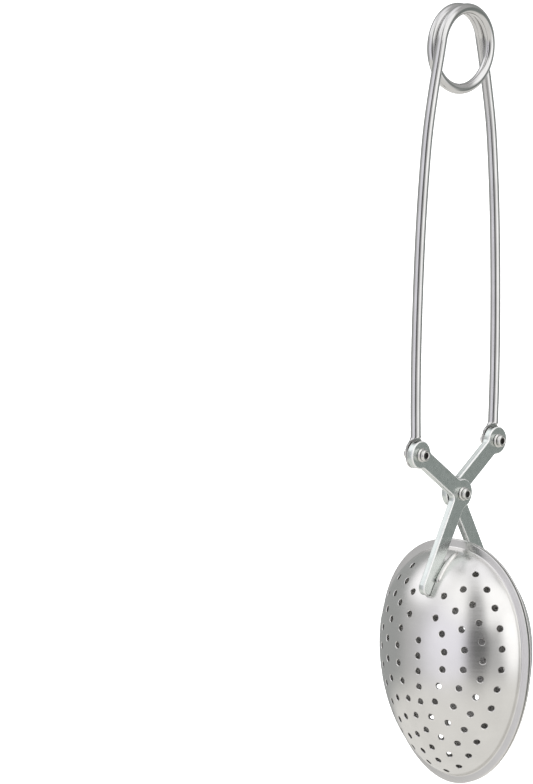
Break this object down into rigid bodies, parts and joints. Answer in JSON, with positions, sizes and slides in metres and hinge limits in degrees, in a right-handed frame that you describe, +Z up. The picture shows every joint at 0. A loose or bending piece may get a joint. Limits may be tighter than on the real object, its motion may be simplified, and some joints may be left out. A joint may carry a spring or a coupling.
{
  "type": "tea infuser",
  "caption": "Squeeze-handled tea infuser: a sprung wire handle and two crank levers open a perforated steel egg made of two halves.",
  "frame": {"origin": "centre of the hanging coil at the top of the wire handle", "axes": "+Z up along the handle, Y along the pivots' axes with the front at -Y, X across the handle; the egg halves meet at the plane X = 0"},
  "size_m": [0.0352, 0.0448, 0.1799],
  "materials": {
    "wire_steel": "polished stainless spring wire",
    "lever_steel": "satin stainless plate with bright edges",
    "shell_steel": "satin stainless sheet with fine horizontal brushing",
    "rivet_steel": "polished stainless rivet"
  },
  "bodies": {
    "coil": {"handle_coil": "wire_steel"},
    "left_leg": {"handle_leg_left": "wire_steel", "lever_rivet_left": "rivet_steel"},
    "right_leg": {"handle_leg_right": "wire_steel", "lever_rivet_right": "rivet_steel"},
    "left_jaw": {"lever_left": "lever_steel", "shell_left": "shell_steel", "pivot_rivet": "rivet_steel"},
    "right_jaw": {"lever_right": "lever_steel", "shell_right": "shell_steel"}
  },
  "joints": [
    {"name": "left_leg_flex", "type": "hinge", "parent": "coil", "child": "left_leg", "pos_m": [0, 0, 0], "axis": [0, 1, 0], "range_deg": [-3.5, 0]},
    {"name": "right_leg_flex", "type": "hinge", "parent": "coil", "child": "right_leg", "pos_m": [0, 0, 0], "axis": [0, 1, 0], "range_deg": [0, 3.5]},
    {"name": "left_jaw_swing", "type": "hinge", "parent": "left_leg", "child": "left_jaw", "pos_m": [-0.0144, 0, -0.0912], "axis": [0, 1, 0], "range_deg": [0, 28], "stiffness_Nm_per_rad": 0.11, "springref_deg": -20.05},
    {"name": "right_jaw_swing", "type": "hinge", "parent": "right_leg", "child": "right_jaw", "pos_m": [0.0144, 0, -0.0912], "axis": [0, 1, 0], "range_deg": [-28, 0]}
  ],
  "couplings": [
    {"joint": "left_leg_flex", "follows": "left_jaw_swing", "ratio": -0.1245},
    {"joint": "right_leg_flex", "follows": "left_jaw_swing", "ratio": 0.1245},
    {"joint": "right_jaw_swing", "follows": "left_jaw_swing", "ratio": -1}
  ]
}
